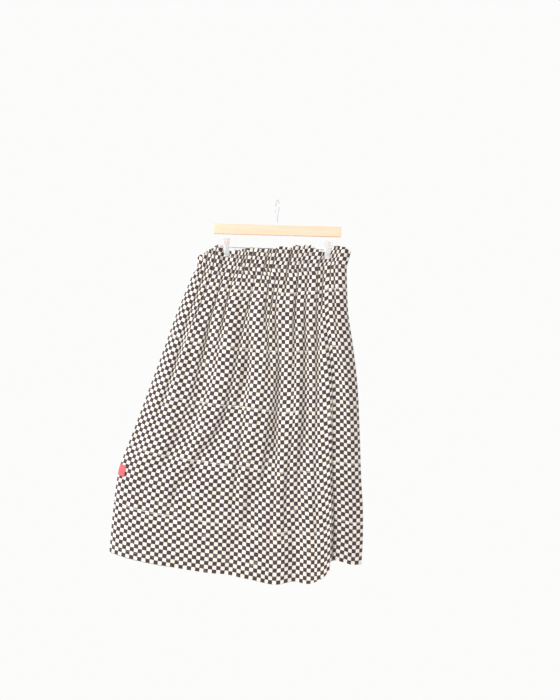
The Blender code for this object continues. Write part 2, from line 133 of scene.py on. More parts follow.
# Puts points (mm) and lists of faces into a new mesh object. Each list's faces have as many corners.
def newPiece(name, points, faceLists, material, uv=None, sharpFrom=None, closed=True):
    points = np.asarray(points, float).reshape(-1, 3) * mm
    corners = np.concatenate([faces.ravel() for faces in faceLists])
    sizes = np.concatenate([np.full(len(faces), faces.shape[1]) for faces in faceLists])
    mesh = bpy.data.meshes.new(name)
    mesh.vertices.add(len(points))
    mesh.vertices.foreach_set("co", points.ravel())
    mesh.loops.add(len(corners))
    mesh.loops.foreach_set("vertex_index", corners)
    mesh.polygons.add(len(sizes))
    mesh.polygons.foreach_set("loop_start", np.cumsum(sizes) - sizes)
    if uv is not None:
        layer = mesh.uv_layers.new(name="cloth")
        layer.data.foreach_set("uv", uv.reshape(-1, 2)[corners].ravel())
    mesh.update(calc_edges=True)
    mesh.shade_smooth()
    if sharpFrom is not None:
        mesh.set_sharp_from_angle(angle=math.radians(sharpFrom))
    mesh.materials.append(material)
    if closed and meshVolume(mesh) < 0:
        mesh.flip_normals()
    piece = bpy.data.objects.new(name, mesh)
    bpy.context.scene.collection.objects.link(piece)
    return piece


# A closed wall round a middle surface: its points moved half the thickness out and in, two grids
# of quads, and a strip round the edge that joins them.
def closedWall(name, middle, normals, thickness, uv, material):
    half = np.broadcast_to(np.asarray(thickness, float), middle.shape[:2])[:, :, None] / 2
    points = np.stack([middle + normals * half, middle - normals * half])
    outer, inner = np.arange(points.size // 3).reshape(points.shape[:3])
    a, b = [np.concatenate([g[0, :-1], g[:-1, -1], g[-1, :0:-1], g[:0:-1, 0]]) for g in (outer, inner)]
    rim = np.stack([a, np.roll(a, -1), np.roll(b, -1), b], axis=1)
    faces = [gridFaces(outer), gridFaces(inner)[:, ::-1], rim]
    return newPiece(name, points, faces, material, uv=np.stack([uv, uv]), sharpFrom=50)


# Skirt: its shape is a table of sections, a table of edges, and folds laid over them.

outwards = {"front": -1, "back": 1}  # along y

skirt = {
    "panelWidth": 850,  # mm of cloth from seam to seam
    "height": 926,  # mm, about, from the casing to the hem
    "squareWide": 12.5,  # mm, a printed square
    "squareHigh": 11.7,
    "cloth": 0.9,  # mm, how thick the cloth looks
    "hemCloth": 1.9,
    "headingCloth": 1.4,
    "hemDeep": 0.026,  # share of the panel that is turned up
    "hemStep": 0.0008,  # share of the panel over which the wall gets thicker there
    "shownAtTop": 0.73,  # share of the cloth's width outside the tucks that close in the valleys
    "shownAtHem": 0.97,
    "shownSettles": 0.85,  # down the panel, where that share is reached
    "steadyRows": 5,  # over so many rows up and down is a row's count of squares evened
    "seamGap": 0.15,  # mm, half the gap that keeps two pieces apart at a seam
    "panelRows": 97,
    "headingRows": 34,
    "foldAt": 0.876,  # across the panel
    "foldHalf": 4.0,  # mm across, over which the deep fold turns in
    "foldUndercut": 4.0,  # mm that the fold's wall leans in under its edge
    "foldRise": 22,  # mm, how much higher the hem is on the fold's right
    "foldCleft": 6,  # mm, how much deeper the fold is than the cloth on its right
    "foldCleftHalf": 3.2,
    "foldOpens": (0.25, 0.70),  # down the panel
    "foldCrowd": 0.62,  # how strongly the mesh's columns crowd at the fold
    "foldCrowdHalf": 0.03,
    "wrinkle": (0.5, 60, 22, 5),  # mm, times across, times down, seed
}

# By the share of the way down: the sides, the depth before and behind, the roundness of the sides,
# and how much of its depth the front keeps right of the deep fold.
sections = columnsOf(
    "down   left  right  front  back  round  inside",
    (0.00, -250, 212, 11.5, 11.5, 34, 1.00),
    (0.07, -272, 215, 20.0, 20.0, 42, 1.00),
    (0.15, -297, 220, 28.0, 27.0, 52, 1.00),
    (0.27, -330, 238, 33.0, 31.0, 64, 1.00),
    (0.40, -367, 254, 35.0, 33.0, 76, 0.98),
    (0.55, -410, 264, 35.0, 34.0, 86, 0.92),
    (0.72, -457, 273, 36.0, 34.0, 94, 0.80),
    (0.82, -467, 280, 36.0, 34.0, 98, 0.72),
    (0.92, -473, 282, 37.0, 35.0, 102, 0.66),
    (1.00, -477, 280, 38.0, 36.0, 104, 0.62),
)

# By the share of the way across: heights, printed squares between casing and hem, and how many of
# them the front's hem turns under beside the deep fold.
edges = columnsOf(
    "across  casing  hemFront  hemBack  squares  hidden",
    (0.00, -230, -1066, -1066, 73.5, 0),
    (0.09, -228, -1080, -1082, 75.5, 0),
    (0.19, -216, -1094, -1098, 77.2, 0),
    (0.28, -208, -1103, -1109, 78.3, 0),
    (0.38, -204, -1113, -1120, 78.8, 0),
    (0.47, -203, -1119, -1129, 79.0, 0),
    (0.57, -202, -1132, -1136, 79.2, 0),
    (0.66, -200, -1144, -1132, 79.4, 0),
    (0.73, -199, -1136, -1122, 79.0, 0),
    (0.80, -197, -1138, -1106, 79.0, 0.3),
    (0.85, -196, -1118, -1092, 78.8, 1.2),
    (0.88, -195, -1093, -1084, 78.7, 2.0),
    (0.92, -194, -1097, -1078, 78.6, 2.1),
    (0.96, -193, -1106, -1078, 78.5, 2.1),
    (1.00, -193, -1106, -1084, 78.5, 2.0),
)

frillEdge = columnsOf(
    "across  front  back",
    (0.00, -175, -178),
    (0.045, -163, -166),
    (0.09, -150, -152),
    (0.145, -138, -143),
    (0.167, -150, -150),
    (0.19, -154, -154),
    (0.215, -155, -155),
    (0.25, -153, -152),
    (0.317, -149, -146),
    (0.47, -145, -143),
    (0.59, -139, -142),
    (0.707, -134, -138),
    (0.745, -137, -140),
    (0.785, -148, -147),
    (0.824, -151, -151),
    (0.85, -152, -152),
    (0.868, -150, -150),
    (0.887, -136, -140),
    (0.92, -132, -136),
    (0.965, -137, -138),
    (1.00, -146, -146),
)

heading = {
    "height": 60,  # mm, about
    "left": -235,  # mm, the frill's ends
    "right": 224,
    "sideRound": 34,  # mm, the roundness of its sides
    "stepFrom": 0.55,  # down the heading; its left end is drawn in above this
    "stepFades": 25,  # mm from the end
    "pinchAt": (-148.5, 153.5),  # mm, the middles of the clips
    "pinchDepth": 1.9,  # mm from the middle, where the clips press it
    "pinchFlat": 10.6,  # mm from a clip's middle, as far as it is flat
    "pinchEnd": 22.0,  # and from where it is free
    "pinchGather": 0.10,  # the share of the gathers' depth that stays there
    "pinchLevel": 0.53,  # down the heading
    "upperStitches": 0.31,  # down the heading
    "stitchDraw": 1.6,  # mm that the stitches draw the cloth in
    "stitchHalf": 0.05,
    "joins": 0.3,  # the share of its height over which it becomes the panel's top row
    "frillLobes": 0.55,  # how much lower the edge is in a valley, as a share of its depth
    "lobesFrom": 3,  # mm, the depth that leaves the edge as it is
    "frillLean": (3.4, 17, 0, 6),  # mm, times across, times down, seed
    "frillRagged": (2.0, 58, 0, 7),
    "jumbleAcross": (1.6, 64, 3.2, 9),  # how the gathers push each other about
    "jumbleUp": (2.2, 60, 2.8, 11),
    "jumbleDeep": (1.6, 70, 4.0, 10),
}

gathers = {
    "count": 34,  # valleys from seam to seam
    "columnsEach": 14,  # of the mesh
    "shift": 0.42,  # how far from its even place a valley may be, in gathers
    "deep": (2.8, 6.8),  # mm
    "valleyHalf": (2.0, 4.2),  # mm, half a valley's width in the elastic
    "valleyOpening": 12,  # mm that this grows by, down to the hem
    "shortest": 0.06,  # how far down the panel the shortest one runs
    "running": 0.11,  # how much further they run, on average
    "longest": 0.42,
    "drift": 0.03,  # the share of the width that a valley may lean by
    "driftAbove": 0.4,  # and in the heading, as a share of that
    "meander": 4.0,  # mm that a fold wanders sideways
    "meanderFrom": 0.25,  # down the panel, from where it does so in full
    "meanderTurns": 6,
    "meanderSeed": 90,
    "pleatValley": 0.15,  # how far down a valley runs, at least, that goes on as a pleat
    "pleatsDeeper": 1.1,  # times what their table says
    "pleatsLooser": 1.0,  # how much broader a pleat gets below the gathers
    "pleatsLoosen": (0.05, 0.40),  # down the panel
    "crowd": 0.45,  # how strongly a valley draws in the cloth beside it
    "crowdFrom": 3,  # mm, the depth from which it does so in full
    "crowdAbove": 0.5,  # the same in the heading, as a share of that
    "crowdBelow": 0.4,  # and below the gathers
    "crowdFades": (0.15, 0.45),  # down the panel
    "evenAbove": 0.8,  # how evenly the squares lie over the valleys, halfway up the heading
    "widerAbove": 1.6,  # mm that the valleys are wider in the heading
    "widerFrom": 0.25,  # up the heading, from where they are so in full
    "seeds": {"front": 11, "back": 47},
}

# Soft troughs between the main folds, and the narrow pleats that run on out of the gathers. Each
# row gives the places across the skirt at five levels, the depths there, and half the width.
troughLevels = (0.10, 0.40, 0.60, 0.80, 1.00)
pleatLevels = (0.10, 0.30, 0.50, 0.70, 0.92)
foldColumns = "at1 at2 at3 at4 at5  deep1 deep2 deep3 deep4 deep5  halfWidth"
troughs = {
    "front": columnsOf(
        foldColumns,
        (0.185, 0.250, 0.212, 0.080, 0.030, 4, 15, 13, 3, 0, 26),
        (0.400, 0.445, 0.362, 0.240, 0.160, 6, 17, 15, 4, 0, 27),
        (0.562, 0.632, 0.618, 0.540, 0.470, 5, 13, 15, 12, 7, 24),
        (0.700, 0.757, 0.742, 0.733, 0.735, 5, 10, 14, 14, 13, 25),
        (0.860, 0.893, 0.893, 0.893, 0.893, 5, 9, 6, 3, 0, 16),
    ),
    "back": columnsOf(
        foldColumns,
        (0.160, 0.180, 0.190, 0.205, 0.215, 5, 11, 13, 12, 10, 27),
        (0.330, 0.345, 0.330, 0.300, 0.285, 6, 15, 14, 8, 3, 26),
        (0.500, 0.520, 0.535, 0.540, 0.545, 5, 12, 15, 16, 15, 28),
        (0.655, 0.690, 0.705, 0.700, 0.690, 6, 14, 12, 7, 4, 25),
        (0.840, 0.850, 0.860, 0.872, 0.880, 5, 12, 14, 13, 11, 26),
    ),
}
pleats = {
    "front": columnsOf(
        foldColumns,
        (0.200, 0.210, 0.208, 0.190, 0.180, 5, 6, 4, 1, 0, 4.4),
        (0.113, 0.095, 0.090, 0.090, 0.090, 5, 3, 0, 0, 0, 4.0),
        (0.090, 0.088, 0.080, 0.035, 0.020, 1, 4, 4, 2, 0, 4.4),
        (0.290, 0.288, 0.270, 0.186, 0.120, 4, 5, 3, 1, 0, 5.0),
        (0.408, 0.396, 0.379, 0.268, 0.190, 5, 5, 6, 5, 1, 5.0),
        (0.440, 0.456, 0.470, 0.481, 0.470, 2, 4, 6, 5, 1, 5.0),
        (0.510, 0.565, 0.580, 0.580, 0.580, 5, 5, 1, 0, 0, 4.2),
        (0.540, 0.545, 0.550, 0.550, 0.550, 5, 2, 0, 0, 0, 4.0),
        (0.575, 0.612, 0.620, 0.645, 0.628, 4, 6, 8, 7, 5, 4.6),
        (0.600, 0.600, 0.594, 0.590, 0.585, 0, 1, 4, 3, 1, 4.2),
        (0.680, 0.690, 0.690, 0.690, 0.690, 5, 2, 0, 0, 0, 4.0),
        (0.809, 0.805, 0.800, 0.800, 0.800, 5, 5, 1, 0, 0, 4.2),
        (0.755, 0.755, 0.757, 0.744, 0.765, 3, 5, 5, 5, 4, 5.2),
        (0.690, 0.695, 0.696, 0.698, 0.685, 0, 3, 6, 6, 4, 4.4),
        (0.910, 0.916, 0.930, 0.945, 0.950, 4, 5, 4, 2, 1, 4.6),
        (0.850, 0.818, 0.806, 0.815, 0.815, 4, 4, 6, 9, 9, 4.4),
    ),
    "back": columnsOf(
        foldColumns,
        (0.105, 0.095, 0.085, 0.075, 0.070, 5, 5, 3, 1, 0, 4.4),
        (0.225, 0.250, 0.262, 0.270, 0.270, 4, 5, 5, 5, 4, 5.0),
        (0.290, 0.280, 0.280, 0.280, 0.280, 5, 4, 1, 0, 0, 4.2),
        (0.380, 0.395, 0.400, 0.390, 0.380, 3, 5, 4, 2, 0, 4.4),
        (0.410, 0.430, 0.435, 0.430, 0.425, 4, 5, 5, 3, 1, 5.0),
        (0.455, 0.470, 0.480, 0.480, 0.480, 5, 4, 1, 0, 0, 4.0),
        (0.565, 0.590, 0.605, 0.615, 0.620, 5, 5, 5, 5, 5, 5.2),
        (0.620, 0.630, 0.640, 0.640, 0.640, 4, 4, 2, 0, 0, 4.2),
        (0.735, 0.760, 0.775, 0.780, 0.785, 4, 5, 5, 4, 2, 5.0),
        (0.790, 0.805, 0.810, 0.810, 0.810, 5, 4, 1, 0, 0, 4.2),
        (0.905, 0.925, 0.935, 0.940, 0.945, 4, 5, 4, 3, 2, 4.6),
    ),
}

# Slight creases that run across the folds: from one place to another (x and z), depth, half width.
creases = {
    "front": columnsOf(
        "x1  z1  x2  z2  deep  half",
        (-446, -838, -352, -958, 4.2, 5.0),
        (-452, -820, -330, -872, 1.4, 6.0),
        (-250, -262, -196, -420, 1.6, 5.0),
        (230, -250, 196, -352, 1.6, 5.0),
        (262, -742, 214, -802, 1.4, 6.0),
        (-450, -915, -392, -1034, 4.0, 5.0),
        (-60, -830, 20, -872, 0.9, 7.0),
    ),
    "back": columnsOf(
        "x1  z1  x2  z2  deep  half",
        (-446, -820, -360, -930, 2.0, 6.0),
        (258, -760, 180, -850, 1.8, 6.0),
        (-236, -262, -180, -400, 1.6, 5.0),
        (222, -260, 180, -372, 1.6, 5.0),
        (-120, -700, -20, -760, 1.0, 7.0),
    ),
}


# How much of its depth the cloth has this far from the nearer seam: (1 - (1 - t)^2)^0.65.
def turnOfSide(across, width, sideRound):
    t = np.clip(np.minimum(across, 1 - across) * width / sideRound, 0, 1)
    return (1 - (1 - t) ** 2) ** 0.65


# Soft troughs together: each is a bell exp(-t^2) across, t being the distance in half widths.
def troughDepth(side, across, down, width):
    total = np.zeros_like(across)
    for *values, halfWidth in zip(*troughs[side].values()):
        t = (across - smoothLine(troughLevels, values[:5], down)) * width / halfWidth
        deep = smoothLine(troughLevels, values[5:], down) * softStep(down / troughLevels[0])
        total += deep * np.exp(-(t**2))
    return total


# Creases: the same bell, of the distance from a line, deepest at its middle.
def creaseDepth(side, x, z):
    total = np.zeros_like(x)
    for x1, z1, x2, z2, deep, half in zip(*creases[side].values()):
        runX, runZ = x2 - x1, z2 - z1
        t = ((x - x1) * runX + (z - z1) * runZ) / (runX**2 + runZ**2)
        off = np.hypot(x - x1 - t * runX, z - z1 - t * runZ) / half
        total += deep * np.sin(math.pi * np.clip(t, 0, 1)) ** 0.7 * np.exp(-(off**2))
    return total


# The gathers' valleys, seam to seam: evenly spaced, then shifted, each with a depth and a length.
def gatherValleys(side):
    chance = np.random.default_rng(gathers["seeds"][side])
    count = gathers["count"]
    at = (np.arange(count) + 0.5 + chance.uniform(-gathers["shift"], gathers["shift"], count)) / count
    deep = chance.uniform(*gathers["deep"], count)
    reach = gathers["shortest"] + chance.exponential(gathers["running"], count)
    reach = np.minimum(reach, gathers["longest"])
    drift = chance.uniform(-gathers["drift"], gathers["drift"], count)
    half = chance.uniform(*gathers["valleyHalf"], count)
    return at, deep, reach, drift, half


# Narrow folds together, each exp(-t^2) deep at t half widths from its middle. Each also draws the
# cloth beside it in, by its distance times exp(-t^2), which leaves broad ridges and steep valleys.
def narrowFolds(side, across, down, width, up=0):
    depth = np.zeros_like(across)
    drawn = np.zeros_like(across)
    at, deep, reach, drift, half = gatherValleys(side)
    runs = []
    for *values, halfWidth in zip(*pleats[side].values()):
        nearest = np.argmin(np.abs(at - values[0]))  # each pleat starts in a gather's valley
        values[0] = at[nearest]
        reach[nearest] = max(reach[nearest], gathers["pleatValley"])
        deepHere = smoothLine(pleatLevels, values[5:], down) * softStep(down / pleatLevels[0])
        deepHere = deepHere * gathers["pleatsDeeper"]
        wide = halfWidth * (1 + gathers["pleatsLooser"] * softStep(down, *gathers["pleatsLoosen"]))
        runs.append((smoothLine(pleatLevels, values[:5], down), deepHere, wide))
    crowd = gathers["crowd"] * (1 - (1 - gathers["crowdBelow"]) * softStep(down, *gathers["crowdFades"]))
    for i in range(len(at)):
        place = at[i] + drift[i] * (down - gathers["driftAbove"] * up)
        wide = half[i] + gathers["valleyOpening"] * down
        wide = wide + gathers["widerAbove"] * softStep(up, 0, gathers["widerFrom"])
        runs.append((place, deep[i] * (1 - softStep(down / reach[i])), wide))
    for i, (place, deepHere, halfWidth) in enumerate(runs):
        noise = smoothNoise(gathers["meanderTurns"] * down, 3.7 * i + 0 * down, gathers["meanderSeed"])
        wander = gathers["meander"] * softStep(down, 0, gathers["meanderFrom"]) * noise
        place = place + wander / width
        offset = (across - place) * width
        bell = np.exp(-((offset / halfWidth) ** 2))
        depth += deepHere * bell
        drawn += offset * bell * np.clip(deepHere / gathers["crowdFrom"], 0, 1)
    return depth, crowd * drawn


waves = {
    "count": 15,  # from seam to seam
    "drift": 0.30,  # how far they wander, in waves
    "driftTurns": (1.3, 0.8),  # across and down
    "uneven": (0.6, 9, 3, 0),  # the share, times across, times down, seed
    "slow": (1.0, 11, 2.2, 1),
    "deepUnder": 1.2,  # mm, under the gathers, which end at this place down the panel:
    "gathersEnd": 0.3,
    "deepMore": 1.9,  # mm, how much deeper they get down to the hem
}


# Broad soft waves under the gathers: a cosine whose phase and height drift as it goes down.
def softWaves(place, down, seed):
    turnsAcross, turnsDown = waves["driftTurns"]
    drift = waves["drift"] * np.sin(2 * math.pi * (turnsAcross * place + turnsDown * down))
    wave = np.cos(2 * math.pi * (waves["count"] * place + drift))
    wave = wave * (1 + uneven(waves["uneven"], place, down, seed))
    wave = wave + uneven(waves["slow"], place, down, seed)
    return (waves["deepUnder"] * softStep(down, 0, waves["gathersEnd"]) + waves["deepMore"] * down) * wave


# Each row's length: the distances between its neighbouring points, summed.
def rowLength(points):
    return np.linalg.norm(np.diff(points, axis=1), axis=2).sum(axis=1)


# Adds the wave to each row's depth, as deep as makes the row as long as the cloth that shows. How
# deep is found by halving the range that it must lie in.
def takeUpCloth(points, wave, down, deepest=6.0, halvings=18):
    change = skirt["shownAtHem"] - skirt["shownAtTop"]
    shown = skirt["shownAtTop"] + change * softStep(down, 0, skirt["shownSettles"])
    length = skirt["panelWidth"] * shown * np.ones(len(points))
    low = np.zeros(len(points))
    high = np.full(len(points), deepest)
    for _ in range(halvings):
        middle = (low + high) / 2
        trial = points.copy()
        trial[:, :, 1] += middle[:, None] * wave
        short = rowLength(trial) < length
        low = np.where(short, middle, low)
        high = np.where(short, high, middle)
    points[:, :, 1] += low[:, None] * wave
    return points


# The panel's middle surface: x runs between the skirt's sides and z between casing and hem, and y
# is the section's depth less the troughs, gathers and pleats.
def panelSurface(side, places, levels):
    across, down = np.meshgrid(places, levels)
    seed = gathers["seeds"][side]
    left = readTable(sections, "left", down)
    width = readTable(sections, "right", down) - left
    softSide = turnOfSide(across, width, readTable(sections, "round", down))
    depth = readTable(sections, side, down) * softSide
    hem = readTable(edges, "hemFront" if side == "front" else "hemBack", across)
    folds, drawn = narrowFolds(side, across, down, width)
    x = left + across * width - drawn * softSide
    if side == "front":
        turned = softStep((across - skirt["foldAt"]) * width / (2 * skirt["foldHalf"]) + 0.5)
        kept = readTable(sections, "inside", down)
        deepest = skirt["foldAt"] + skirt["foldHalf"] / width
        cleft = np.exp(-((((across - deepest) * width) / skirt["foldCleftHalf"]) ** 2))
        opening = softStep(down, *skirt["foldOpens"])
        depth = depth * (1 - turned * (1 - kept)) - skirt["foldCleft"] * cleft * opening
        hem = hem + turned * skirt["foldRise"] * opening
        x = x - skirt["foldUndercut"] * 4 * turned * (1 - turned) * opening
    z = (1 - down) * readTable(edges, "casing", across) + down * hem
    depth = depth - (troughDepth(side, across, down, width) + creaseDepth(side, x, z)) * softSide
    depth = depth + softSide * uneven(skirt["wrinkle"], across, down, seed)
    points = np.stack([x, outwards[side] * depth, z], axis=2)
    wave = softWaves(across, down, seed + 3) - folds
    return takeUpCloth(points, outwards[side] * softSide * wave, levels), folds


# The heading's middle surface: the same gathers run on up through the casing into the frill. The
# two rows of stitches draw it in, the clips press it flat, the gathers jostle each other, and its
# left end stands out a step further than the panel's.
def headingSurface(side, places, levels):
    across, down = np.meshgrid(places, levels)
    seed = gathers["seeds"][side]
    left = (1 - down) * heading["left"] + down * sections["left"][0]
    width = (1 - down) * heading["right"] + down * sections["right"][0] - left
    softSide = turnOfSide(across, width, heading["sideRound"])
    folds, drawn = narrowFolds(side, across, 0 * down, width, up=1 - down)
    x = left + across * width
    held = down - softStep(down, heading["stepFrom"], 1)
    stepIn = held * (heading["left"] - sections["left"][0])
    x = x + stepIn * np.exp(-across * width / heading["stepFades"])
    pinch = np.zeros_like(x)
    for clipX in heading["pinchAt"]:
        pinch += 1 - softStep(np.abs(x - clipX), heading["pinchFlat"], heading["pinchEnd"])
    pinch *= 1 - softStep(down, heading["pinchLevel"], 1)
    free = softSide * (1 - pinch)
    above = softStep(1 - down, 0, heading["joins"])
    x = x - drawn * softSide * (1 - (1 - gathers["crowdAbove"]) * above)
    x = x + above * free * uneven(heading["jumbleAcross"], across, down, seed)
    depth = sections[side][0] * softSide * (1 - pinch) + heading["pinchDepth"] * pinch
    frill = softStep(heading["upperStitches"] - down, 0, heading["upperStitches"])
    stitched = np.exp(-(((down - heading["upperStitches"]) / heading["stitchHalf"]) ** 2))
    stitched += np.exp(-(((down - 1) / heading["stitchHalf"]) ** 2))
    depth = depth - free * heading["stitchDraw"] * (stitched - 1) * above
    depth = depth + free * frill * uneven(heading["frillLean"], across, down, seed)
    depth = depth + free * above * uneven(heading["jumbleDeep"], across, down, seed)
    depth = depth + softSide * (1 - above) * uneven(skirt["wrinkle"], across, 0 * down, seed)
    edge = readTable(frillEdge, side, across)
    edge = edge - heading["frillLobes"] * (folds - heading["lobesFrom"]) * free
    edge = edge + (1 - pinch) * uneven(heading["frillRagged"], across, down, seed)
    z = (1 - down) * edge + down * readTable(edges, "casing", across)
    z = z + above * (1 - pinch) * uneven(heading["jumbleUp"], across, down, seed)
    points = np.stack([x, outwards[side] * depth, z], axis=2)
    wave = folds * softSide * (1 - (1 - heading["pinchGather"]) * pinch)
    return takeUpCloth(points, -outwards[side] * wave, 0), folds


# Outward normals of a surface, level at its top and bottom edges and sideways at its seams.
def wallNormals(points, side):
    normals = np.cross(np.gradient(points, axis=0), np.gradient(points, axis=1))
    normals *= np.sign(normals[:, :, 1].sum() * outwards[side])
    normals[:, 0] = (-1, 0, 0)
    normals[:, -1] = (1, 0, 0)
    normals[[0, -1], :, 2] = 0
    return unit(normals)


# Each row's mean with the rows round it, as many above as below, and fewer near the ends.
def runningMean(values, reach):
    rows = np.arange(len(values))
    reach = np.minimum(reach, np.minimum(rows, rows[::-1]))
    total = np.concatenate([0 * values[:1], np.cumsum(values, axis=0)])
    return (total[rows + reach + 1] - total[rows - reach]) / (2 * reach + 1)[:, None]


# Where the print lies: squares counted along each row from the left seam, and up each column from
# the hem, both by the length of the cloth. What is tucked away is shared among the valleys, and
# each row's count is the mean of a few rows', as woven threads run on from row to row.
def squaresAlong(points, folds, side):
    steps = np.linalg.norm(np.diff(points, axis=1), axis=2)
    deep = np.maximum(folds, 0)
    valleys = steps * (deep[:, 1:] + deep[:, :-1])
    tucked = skirt["panelWidth"] - steps.sum(axis=1, keepdims=True)
    steps = steps + tucked * valleys / valleys.sum(axis=1, keepdims=True)
    along = np.zeros(points.shape[:2])
    along[:, 1:] = np.cumsum(steps, axis=1)
    return runningMean(along, skirt["steadyRows"]) / skirt["squareWide"] + cotton["starts"][side][0]


# Length of cloth from each point down to the hem: the steps down its column, summed from below.
def lengthBelow(points):
    below = np.zeros(points.shape[:2])
    steps = np.linalg.norm(np.diff(points[:, :, (0, 2)], axis=0), axis=2)
    below[:-1] = np.cumsum(steps[::-1], axis=0)[::-1]
    return below


# Materials. Each helper adds a node, feeds its inputs and gives back the output that is asked for.
class NodeMaker:
    def __init__(self, name, kind="materials"):
        self.made = getattr(bpy.data, kind).new(name)
        self.made.use_nodes = True
        self.tree = self.made.node_tree

    def feed(self, socket, value):
        if isinstance(value, bpy.types.NodeSocket):
            self.tree.links.new(value, socket)
        else:
            socket.default_value = value

    def node(self, kind, values=(), output=0, **settings):
        made = self.tree.nodes.new("ShaderNode" + kind)
        for key, value in settings.items():
            setattr(made, key, value)
        for key, value in values.items() if isinstance(values, dict) else enumerate(values):
            self.feed(made.inputs[key], value)
        return made.outputs[output]

    def math(self, operation, *values):
        return self.node("Math", values, operation=operation)

    def vector(self, operation, *values):
        return self.node("VectorMath", values, operation=operation)

    def scaled(self, vector, by):
        return self.node("VectorMath", {0: vector, "Scale": by}, operation="SCALE")

    def parts(self, vector):
        made = self.tree.nodes.new("ShaderNodeSeparateXYZ")
        self.feed(made.inputs[0], vector)
        return made.outputs

    def mix(self, share, first, second):
        made = self.tree.nodes.new("ShaderNodeMix")
        made.data_type = "RGBA"
        for socket, value in zip((made.inputs[0], made.inputs[6], made.inputs[7]), (share, first, second)):
            self.feed(socket, value)
        return made.outputs[2]

    def ramp(self, value, low, high, to=(0, 1)):
        values = {"Value": value, "From Min": low, "From Max": high, "To Min": to[0], "To Max": to[1]}
        return self.node("MapRange", values, clamp=True)

    def noise(self, place, scale, detail=2.0, output=0):
        return self.node("TexNoise", {"Vector": place, "Scale": scale, "Detail": detail}, output)

    def bump(self, height, strength, distance):
        return self.node("Bump", {"Height": height, "Strength": strength, "Distance": distance})

    def place(self):  # the piece's own coordinates, in metres
        return self.node("TexCoord", output=3)

    def finish(self, shader="Principled BSDF", **sockets):
        for key, value in sockets.items():
            self.feed(self.tree.nodes[shader].inputs[key.replace("_", " ")], value)
        return self.made


cotton = {
    "ivory": (0.83, 0.760, 0.680, 1),
    # painted shade: the ivory as it looks in shade, mixed into the pale squares in patches
    "ivoryShade": (0.79, 0.700, 0.595, 1),
    "charcoal": (0.043, 0.030, 0.041, 1),
    "brown": (0.068, 0.047, 0.055, 1),
    "edgeWobble": 0.16,  # squares
    "edge": 0.26,  # a square is at its full strength where its sine is beyond this
    "edgeSoft": 0.5,
    "darkShare": 0.34,  # how much bigger the dark squares print than the pale ones
    "blockRows": 15,  # squares to a print block, up the cloth
    "blockColumns": 17,
    "blockFirst": 12.8,  # squares above the hem
    "blockShift": 0.16,
    "patchy": 0.8,  # how far the weight of the print varies over the cloth
    "worn": 0.6,  # how much ink a worn joint lacks
    "faint": 0.22,  # how much ink faint places lack
    "mottle": 0.5,
    "threadsPerSquare": 24,
    "bump": 0.22,
    "starts": {"front": (0, 0), "back": (1.3, 0.4)},  # squares; the print isn't matched at the seams
}


# Checkerboard: the sign of sin(pi u) sin(pi v), with u and v pushed about a little, as a hand
# block prints it. Each block lands slightly off, and leaves a worn line where it meets the next.
def makeCotton(name, look):
    make = NodeMaker(name)
    uv = make.node("UVMap", uv_map="cloth")
    blockPlace = make.vector("ADD", uv, (0, -look["blockFirst"], 0))
    blockPlace = make.vector("MULTIPLY", blockPlace, (1 / look["blockColumns"], 1 / look["blockRows"], 1))
    blockOff = make.node("TexWhiteNoise", {"Vector": make.vector("FLOOR", blockPlace)}, 1)
    blockOff = make.scaled(make.vector("SUBTRACT", blockOff, (0.5, 0.5, 0.5)), look["blockShift"])
    wobble = make.vector("SUBTRACT", make.noise(uv, 1.3, 2.5, 1), (0.5, 0.5, 0.5))
    place = make.vector("ADD", uv, make.vector("ADD", blockOff, make.scaled(wobble, look["edgeWobble"])))
    turned = make.parts(make.scaled(place, math.pi))
    sines = [make.math("SINE", part) for part in turned[:2]]
    sines = [make.ramp(sine, -look["edge"], look["edge"], (-1, 1)) for sine in sines]
    board = make.math("MULTIPLY", *sines)
    middle = look["darkShare"] - look["patchy"] / 2
    patchy = make.math("MULTIPLY_ADD", make.noise(uv, 0.23, 1.0), look["patchy"], middle)
    dark = make.ramp(make.math("ADD", board, patchy), -look["edgeSoft"] / 2, look["edgeSoft"] / 2)
    joint = make.ramp(make.math("PINGPONG", make.parts(blockPlace)[1], 0.5), 0.016, 0.005)
    worn = make.math("MULTIPLY", joint, make.ramp(make.noise(uv, 0.6, 1.0), 0.38, 0.62, (0, look["worn"])))
    faint = make.ramp(make.noise(uv, 0.35, 4.0), 0.60, 0.80, (0, look["faint"]))
    dark = make.math("MULTIPLY", dark, make.math("SUBTRACT", 1.0, make.math("MAXIMUM", worn, faint)))
    chance = make.node("TexWhiteNoise", {"Vector": make.vector("FLOOR", place)})
    mottle = make.ramp(make.noise(uv, 5.0, 4.0), 0.3, 0.7, (0, look["mottle"]))
    ink = make.mix(make.math("MULTIPLY_ADD", chance, 0.5, mottle), look["charcoal"], look["brown"])
    # painted shade: soft random patches where the pale squares take the shaded ivory
    paintedPaleShade = make.ramp(make.noise(uv, 0.5, 3.0), 0.35, 0.75, (0, 0.7))
    colour = make.mix(dark, make.mix(paintedPaleShade, look["ivory"], look["ivoryShade"]), ink)
    threads = make.parts(make.scaled(uv, look["threadsPerSquare"] * 2 * math.pi))
    weave = make.math("MULTIPLY", make.math("SINE", threads[0]), make.math("SINE", threads[1]))
    height = make.math("MULTIPLY_ADD", weave, 0.25, make.noise(uv, 7.0, 3.0))
    return make.finish(
        Base_Color=colour,
        Roughness=0.88,
        Normal=make.bump(height, look["bump"], 0.0006),
        Sheen_Weight=0.2,
        Sheen_Roughness=0.5,
        Specular_IOR_Level=0.25,
    )


checkedCotton = makeCotton("blockPrintedCotton", cotton)
print("printed cotton is ready")


